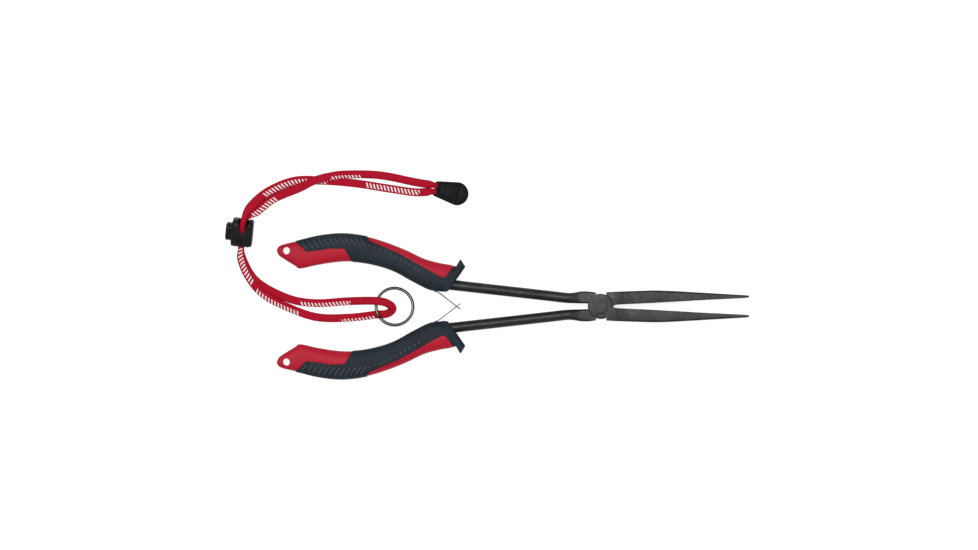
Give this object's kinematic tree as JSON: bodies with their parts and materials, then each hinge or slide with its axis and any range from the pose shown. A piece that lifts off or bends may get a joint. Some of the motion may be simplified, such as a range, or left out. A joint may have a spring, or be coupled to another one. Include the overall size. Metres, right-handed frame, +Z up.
{
  "type": "fishing pliers",
  "caption": "Long-reach needle-nose fishing pliers with round steel shafts, two-part moulded grips and crossed spring leaves, with a loose red cord lanyard and split ring.",
  "frame": {"origin": "middle of the pliers' own box at the surface they lie on, without the lanyard", "axes": "+X from the tails towards the jaw tips, +Y towards the upper handle, +Z up from the surface"},
  "size_m": [0.3116, 0.124, 0.014],
  "materials": {
    "lever_steel": "dark gunmetal, satin",
    "rivet_steel": "worn satin",
    "core_plastic": "moulded satin",
    "sleeve_rubber": "matt overmould",
    "spring_steel": "oiled spring steel",
    "cord_weave": "fine tubular weave with pale ticks",
    "ring_nickel": "nickel plate",
    "black_plastic": "moulded satin"
  },
  "bodies": {
    "pivot": {"pivot_rivet": "rivet_steel"},
    "upper_half": {"upper_lever": "lever_steel", "upper_grip_core": "core_plastic", "upper_grip_sleeve": "sleeve_rubber", "upper_spring_pin": "spring_steel"},
    "lower_half": {"lower_lever": "lever_steel", "lower_grip_core": "core_plastic", "lower_grip_sleeve": "sleeve_rubber", "lower_spring_pin": "spring_steel"},
    "upper_leaf": {"upper_spring_leaf": "spring_steel"},
    "lower_leaf": {"lower_spring_leaf": "spring_steel"},
    "lanyard": {"lanyard_cord": "cord_weave", "cord_knot": "cord_weave", "cord_lock_body": "black_plastic", "cord_lock_spring": "spring_steel", "cord_end_body": "black_plastic", "cord_end_pin": "spring_steel"},
    "lock_button": {"cord_lock_button": "black_plastic"},
    "end_lid": {"cord_end_lid": "black_plastic"},
    "ring": {"split_ring": "ring_nickel"}
  },
  "joints": [
    {"name": "upper_half_swing", "type": "hinge", "parent": "pivot", "child": "upper_half", "pos_m": [0.052, 0, 0.007], "axis": [0, 0, 1], "range_deg": [-2, 3.1], "stiffness_Nm_per_rad": 13},
    {"name": "lower_half_swing", "type": "hinge", "parent": "pivot", "child": "lower_half", "pos_m": [0.052, 0, 0.007], "axis": [0, 0, 1], "range_deg": [-3.1, 2], "stiffness_Nm_per_rad": 13},
    {"name": "upper_leaf_flex", "type": "hinge", "parent": "upper_half", "child": "upper_leaf", "pos_m": [-0.0475, 0.011, 0.007], "axis": [0, 0, 1], "range_deg": [-11.4, 17.4]},
    {"name": "lower_leaf_flex", "type": "hinge", "parent": "lower_half", "child": "lower_leaf", "pos_m": [-0.0475, -0.011, 0.007], "axis": [0, 0, 1], "range_deg": [-17.4, 11.4]},
    {"name": "lanyard_lift", "type": "slide", "parent": "pivot", "child": "lanyard", "axis": [0, 0, 1], "range_m": [0, 0.06]},
    {"name": "lock_button_press", "type": "slide", "parent": "lanyard", "child": "lock_button", "axis": [0.9936, -0.1132, 0], "range_m": [0, 0.0016], "stiffness_N_per_m": 400, "springref_m": -0.002, "deforming": ["cord_lock_spring"]},
    {"name": "end_lid_hinge", "type": "hinge", "parent": "lanyard", "child": "end_lid", "pos_m": [-0.03388, 0.06704, 0.0074], "axis": [0.2334, 0.9724, 0], "range_deg": [0, 90]},
    {"name": "ring_turn", "type": "hinge", "parent": "lanyard", "child": "ring", "pos_m": [-0.0705, -0.0003, 0.00205], "axis": [0.1304, 0.1094, 0.9854], "continuous": true}
  ],
  "couplings": [
    {"joint": "lower_half_swing", "follows": "upper_half_swing", "ratio": -1},
    {"joint": "upper_leaf_flex", "follows": "upper_half_swing", "ratio": 5.6},
    {"joint": "lower_leaf_flex", "follows": "upper_half_swing", "ratio": -5.6}
  ]
}
